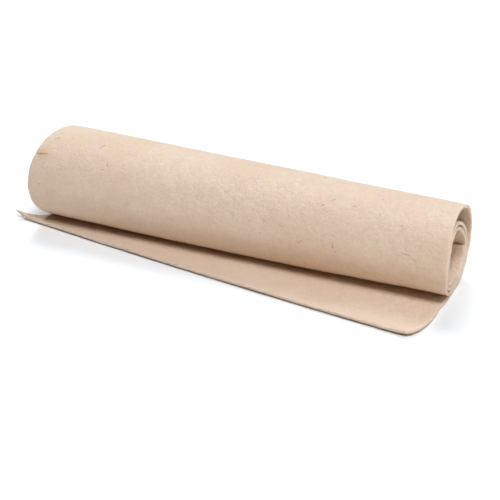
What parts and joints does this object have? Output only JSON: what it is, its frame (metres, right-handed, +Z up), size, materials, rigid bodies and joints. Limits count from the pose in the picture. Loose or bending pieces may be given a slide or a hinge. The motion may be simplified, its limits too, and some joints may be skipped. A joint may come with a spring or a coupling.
{
  "type": "roll of felt",
  "caption": "Thick natural wool felt wound in a loose roll and laid on its side, with the free end of the sheet spread flat in front and one corner curled up.",
  "frame": {"origin": "centre of the sheet's box, on the surface that it lies on", "axes": "+X along the roll towards the open end, -Y towards the free edge of the sheet, +Z up"},
  "size_m": [0.4876, 0.1589, 0.1],
  "materials": {
    "felt": "matte pressed wool"
  },
  "bodies": {
    "root": {"felt_sheet": "felt"}
  },
  "joints": []
}
